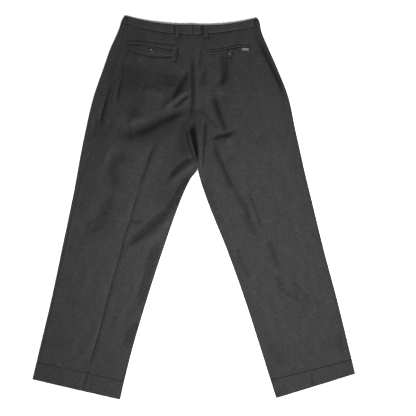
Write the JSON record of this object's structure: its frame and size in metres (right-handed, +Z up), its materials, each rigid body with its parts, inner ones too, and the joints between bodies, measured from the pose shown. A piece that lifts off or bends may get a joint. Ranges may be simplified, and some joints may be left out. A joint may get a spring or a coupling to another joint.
{
  "type": "pleated dress trousers laid flat, back side up",
  "caption": "Wool dress trousers laid flat with the back up: wide straight legs with turn-ups, belt loops, a flap pocket and a jetted pocket.",
  "frame": {"origin": "middle of the laid garment's outline, on the surface it rests on", "axes": "+Y from the hems to the waist, +X to the right with the back of the garment facing up, +Z up from the surface"},
  "size_m": [0.918, 1.092, 0.0218],
  "materials": {
    "wool": "charcoal heathered worsted wool, soft and matt",
    "horn": "dark polished horn-look button",
    "tab": "pale grey woven tape, blank",
    "zip_tape": "black woven zip tape"
  },
  "bodies": {
    "root": {"back_left": "wool", "back_right": "wool", "front_left": "wool", "front_right": "wool", "waistband_left": "wool", "waistband_right": "wool", "cuff_left": "wool", "cuff_right": "wool", "loop_back_left": "wool", "loop_back_right": "wool", "loop_side_left": "wool", "loop_side_right": "wool", "pocket_left_welt": "wool", "pocket_left_flap": "wool", "pocket_left_button": "horn", "pocket_right_jet_upper": "wool", "pocket_right_jet_lower": "wool", "pocket_right_loop": "wool", "pocket_right_button": "horn", "pocket_right_tab": "tab", "pleat_left_1": "wool", "pleat_left_2": "wool", "pleat_right_1": "wool", "pleat_right_2": "wool", "fly_shield": "wool", "fly_zip": "zip_tape", "waist_button": "horn"}
  },
  "joints": []
}
